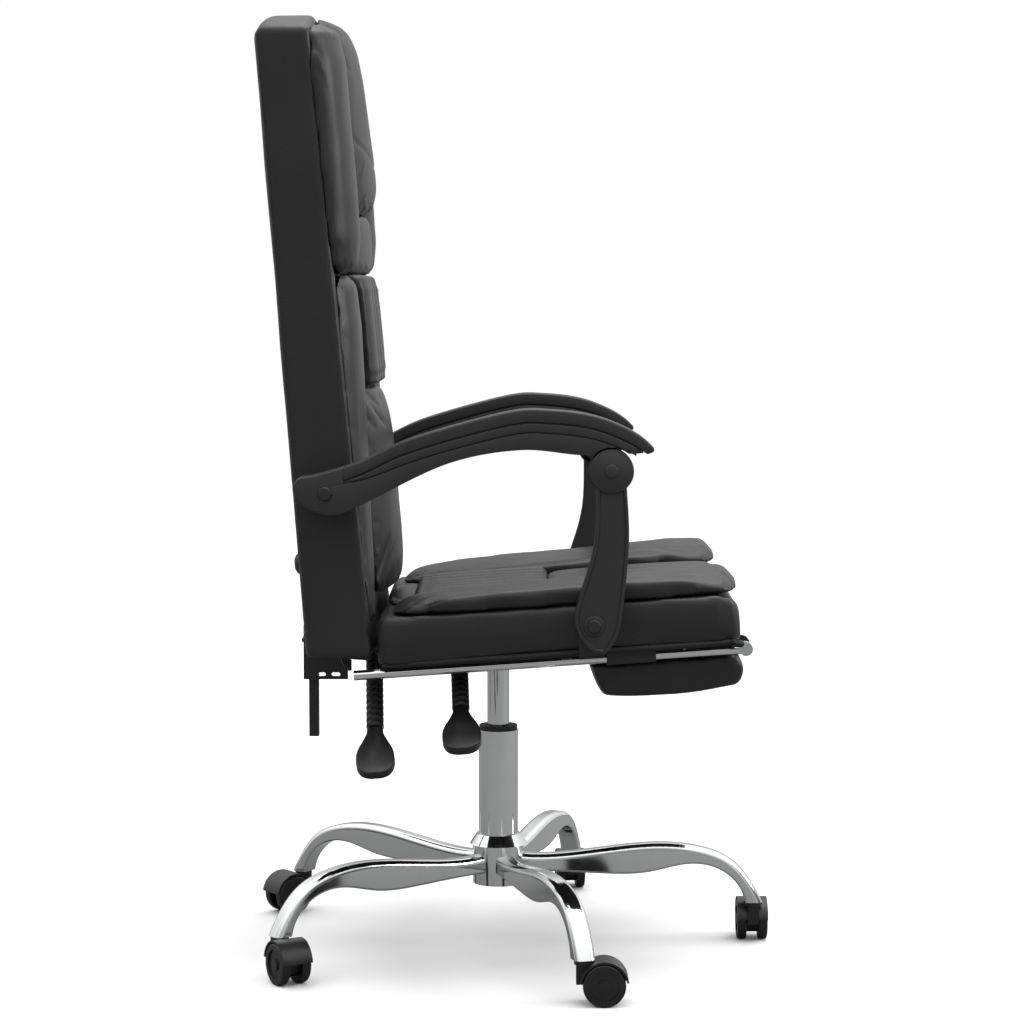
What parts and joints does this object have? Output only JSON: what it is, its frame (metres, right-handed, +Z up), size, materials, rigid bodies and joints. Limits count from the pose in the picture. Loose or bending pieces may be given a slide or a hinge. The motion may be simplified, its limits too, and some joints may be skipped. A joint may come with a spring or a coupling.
{
  "type": "reclining office chair",
  "caption": "High-backed reclining office chair on a castor base, with a gas lift, linked armrests and a flip-over footrest under the seat.",
  "frame": {"origin": "on the floor, under the middle of the column", "axes": "+Z up along the column; the chair faces -Y; +X is on the sitter's left"},
  "size_m": [0.6872, 0.6565, 1.158],
  "materials": {
    "chrome": "polished",
    "steel": "zinc plated",
    "black_metal": "satin powder coat",
    "plastic": "fine grain",
    "arm_top": "soft, fine grain",
    "sleeve": "moulded ribs",
    "leather": "coated, low sheen",
    "board": "plywood"
  },
  "bodies": {
    "base": {"base_leg_1": "chrome", "base_leg_2": "chrome", "base_leg_3": "chrome", "base_leg_4": "chrome", "base_leg_5": "chrome", "base_hub": "chrome", "column_tube": "chrome", "column_skirt": "chrome", "column_bush": "plastic", "thrust_bearing": "steel", "castor_stems": "steel"},
    "swivel": {"piston_rod": "steel"},
    "seat": {"gas_cylinder": "chrome", "seat_mechanism": "black_metal", "seat_bolts": "steel", "seat_board": "board", "seat_cushion": "leather", "seat_bolster_left": "leather", "seat_bolster_right": "leather", "seat_centre_panel": "leather", "footrest_guides": "plastic", "arm_brackets": "black_metal", "upright_bolts": "black_metal"},
    "back": {"back_shell": "leather", "headrest_cushion": "leather", "headrest_wing_left": "leather", "headrest_wing_right": "leather", "back_bolster_left": "leather", "back_bolster_right": "leather", "back_channel_panel": "leather", "lumbar_panel": "leather", "back_bracket": "black_metal", "lock_bar": "black_metal", "hinge_pin": "steel", "back_bolts": "black_metal"},
    "height_lever": {"height_lever_rod": "steel", "height_lever_sleeve": "sleeve", "height_lever_paddle": "plastic"},
    "recline_lever": {"recline_lever_rod": "steel", "recline_lever_sleeve": "sleeve", "recline_lever_paddle": "plastic"},
    "arm_left": {"armrest_left": "plastic", "armrest_pad_left": "arm_top"},
    "arm_right": {"armrest_right": "plastic", "armrest_pad_right": "arm_top"},
    "post_left": {"upright_left": "plastic"},
    "post_right": {"upright_right": "plastic"},
    "footrest": {"footrest_rails": "chrome"},
    "footrest_flap": {"footrest_board": "board", "footrest_pad": "leather"},
    "castor_1": {"castor_housing_1": "plastic"},
    "wheels_1": {"castor_wheels_1": "plastic"},
    "castor_2": {"castor_housing_2": "plastic"},
    "wheels_2": {"castor_wheels_2": "plastic"},
    "castor_3": {"castor_housing_3": "plastic"},
    "wheels_3": {"castor_wheels_3": "plastic"},
    "castor_4": {"castor_housing_4": "plastic"},
    "wheels_4": {"castor_wheels_4": "plastic"},
    "castor_5": {"castor_housing_5": "plastic"},
    "wheels_5": {"castor_wheels_5": "plastic"}
  },
  "joints": [
    {"name": "castor_1_swivel", "type": "hinge", "parent": "base", "child": "castor_1", "pos_m": [0, -0.323, 0.053], "axis": [0, 0, 1], "continuous": true},
    {"name": "castor_1_roll", "type": "hinge", "parent": "castor_1", "child": "wheels_1", "pos_m": [0.024, -0.323, 0.025], "axis": [0, 1, 0], "continuous": true},
    {"name": "castor_2_swivel", "type": "hinge", "parent": "base", "child": "castor_2", "pos_m": [-0.30719, -0.09981, 0.053], "axis": [0, 0, 1], "continuous": true},
    {"name": "castor_2_roll", "type": "hinge", "parent": "castor_2", "child": "wheels_2", "pos_m": [-0.30719, -0.12381, 0.025], "axis": [1, 0, 0], "continuous": true},
    {"name": "castor_3_swivel", "type": "hinge", "parent": "base", "child": "castor_3", "pos_m": [-0.18985, 0.26131, 0.053], "axis": [0, 0, 1], "continuous": true},
    {"name": "castor_3_roll", "type": "hinge", "parent": "castor_3", "child": "wheels_3", "pos_m": [-0.21064, 0.24931, 0.025], "axis": [0.5, -0.866, 0], "continuous": true},
    {"name": "castor_4_swivel", "type": "hinge", "parent": "base", "child": "castor_4", "pos_m": [0.18985, 0.26131, 0.053], "axis": [0, 0, 1], "continuous": true},
    {"name": "castor_4_roll", "type": "hinge", "parent": "castor_4", "child": "wheels_4", "pos_m": [0.17541, 0.28048, 0.025], "axis": [-0.7986, -0.6018, 0], "continuous": true},
    {"name": "castor_5_swivel", "type": "hinge", "parent": "base", "child": "castor_5", "pos_m": [0.30719, -0.09981, 0.053], "axis": [0, 0, 1], "continuous": true},
    {"name": "castor_5_roll", "type": "hinge", "parent": "castor_5", "child": "wheels_5", "pos_m": [0.3311, -0.09772, 0.025], "axis": [-0.0872, 0.9962, 0], "continuous": true},
    {"name": "seat_turn", "type": "hinge", "parent": "base", "child": "swivel", "pos_m": [0, 0, 0.2], "axis": [0, 0, 1], "continuous": true},
    {"name": "seat_height", "type": "slide", "parent": "swivel", "child": "seat", "axis": [0, 0, 1], "range_m": [-0.05, 0.05]},
    {"name": "back_recline", "type": "hinge", "parent": "seat", "child": "back", "pos_m": [0, 0.219, 0.38], "axis": [-1, 0, 0], "range_deg": [0, 35]},
    {"name": "height_lever_lift", "type": "hinge", "parent": "seat", "child": "height_lever", "pos_m": [-0.084, 0.04705, 0.37938], "axis": [0, 0.9976, -0.0698], "range_deg": [0, 10], "stiffness_Nm_per_rad": 3},
    {"name": "recline_lever_lift", "type": "hinge", "parent": "seat", "child": "recline_lever", "pos_m": [-0.059, 0.15142, 0.3811], "axis": [0, 0.9976, -0.0698], "range_deg": [0, 10], "stiffness_Nm_per_rad": 3},
    {"name": "footrest_slide", "type": "slide", "parent": "seat", "child": "footrest", "axis": [0, -0.9976, 0.0698], "range_m": [0, 0.28]},
    {"name": "footrest_flip", "type": "hinge", "parent": "footrest", "child": "footrest_flap", "pos_m": [0, -0.29206, 0.4041], "axis": [-1, 0, 0], "range_deg": [0, 180]},
    {"name": "arm_left_tilt", "type": "hinge", "parent": "back", "child": "arm_left", "pos_m": [0, 0.198, 0.591], "axis": [1, 0, 0], "range_deg": [0, 36]},
    {"name": "post_left_lean", "type": "hinge", "parent": "seat", "child": "post_left", "pos_m": [0, -0.112, 0.4375], "axis": [-1, 0, 0], "range_deg": [0, 42]},
    {"name": "arm_right_tilt", "type": "hinge", "parent": "back", "child": "arm_right", "pos_m": [0, 0.198, 0.591], "axis": [1, 0, 0], "range_deg": [0, 36]},
    {"name": "post_right_lean", "type": "hinge", "parent": "seat", "child": "post_right", "pos_m": [0, -0.112, 0.4375], "axis": [-1, 0, 0], "range_deg": [0, 42]}
  ],
  "couplings": [
    {"joint": "arm_left_tilt", "follows": "back_recline", "ratio": 1.0246},
    {"joint": "post_left_lean", "follows": "back_recline", "ratio": 1.1864},
    {"joint": "arm_right_tilt", "follows": "back_recline", "ratio": 1.0246},
    {"joint": "post_right_lean", "follows": "back_recline", "ratio": 1.1864}
  ]
}
